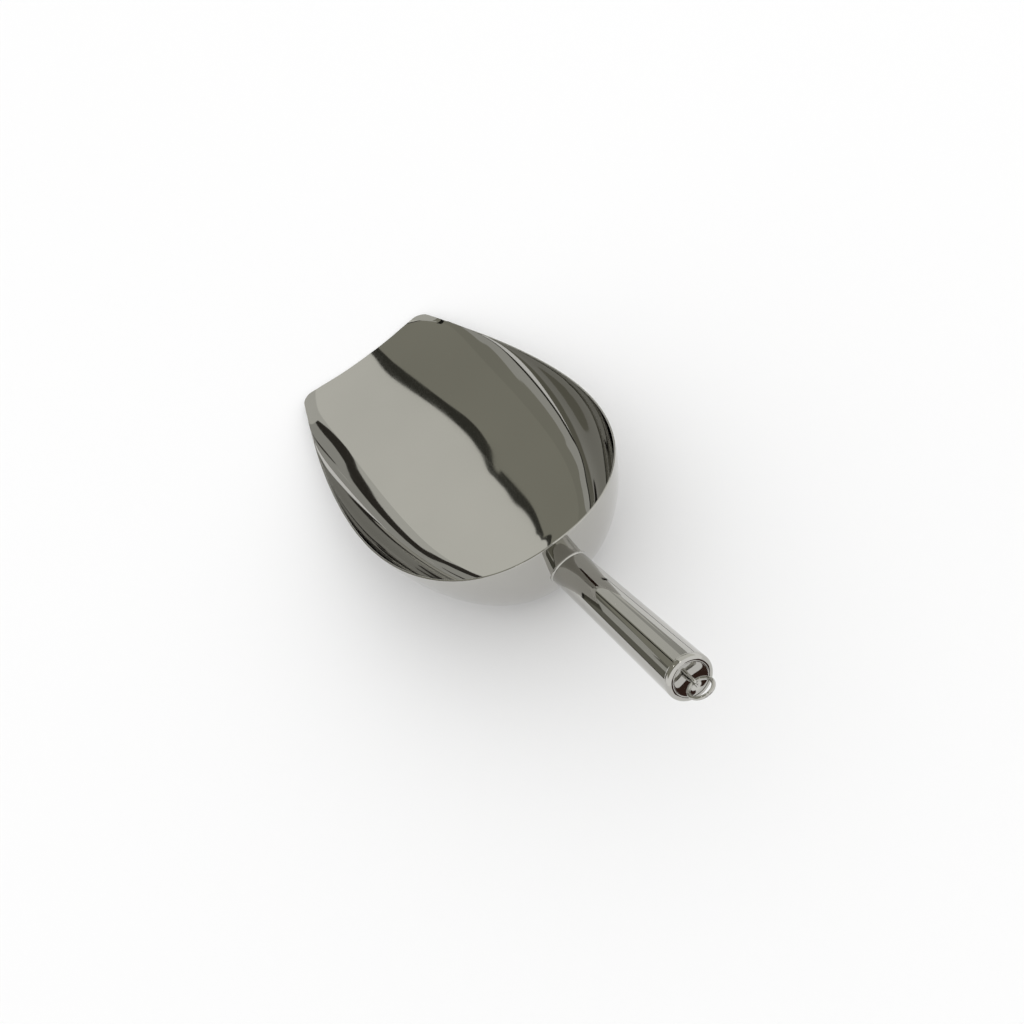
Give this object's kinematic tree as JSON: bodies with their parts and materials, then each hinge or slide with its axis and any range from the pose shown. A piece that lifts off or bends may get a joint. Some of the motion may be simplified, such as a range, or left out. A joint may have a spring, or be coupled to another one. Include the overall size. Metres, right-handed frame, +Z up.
{
  "type": "ice scoop",
  "caption": "Deep pressed steel ice scoop with a sloping open rim, a straight pouring lip, a tapered tube handle and a swinging hanging ring.",
  "frame": {"origin": "middle of the bounding box, at the height of the bowl's flat floor", "axes": "+Z up with the scoop standing on its floor, +X towards the pouring lip, -X towards the handle's end, +Y across"},
  "size_m": [0.3631, 0.1382, 0.109],
  "materials": {
    "polished_steel": "mirror polished stainless steel sheet",
    "weld_steel": "weld bead, ground and polished",
    "wire_steel": "bright drawn stainless wire"
  },
  "bodies": {
    "scoop": {"bowl_shell": "polished_steel", "handle_tube": "polished_steel", "weld_bead": "weld_steel", "end_cap": "polished_steel", "ring_eye": "wire_steel"},
    "ring": {"hanging_ring": "wire_steel"}
  },
  "joints": [
    {"name": "ring_swing", "type": "hinge", "parent": "scoop", "child": "ring", "pos_m": [-0.17051, 0, 0.10051], "axis": [0, 1, 0], "range_deg": [-97, 97]}
  ]
}
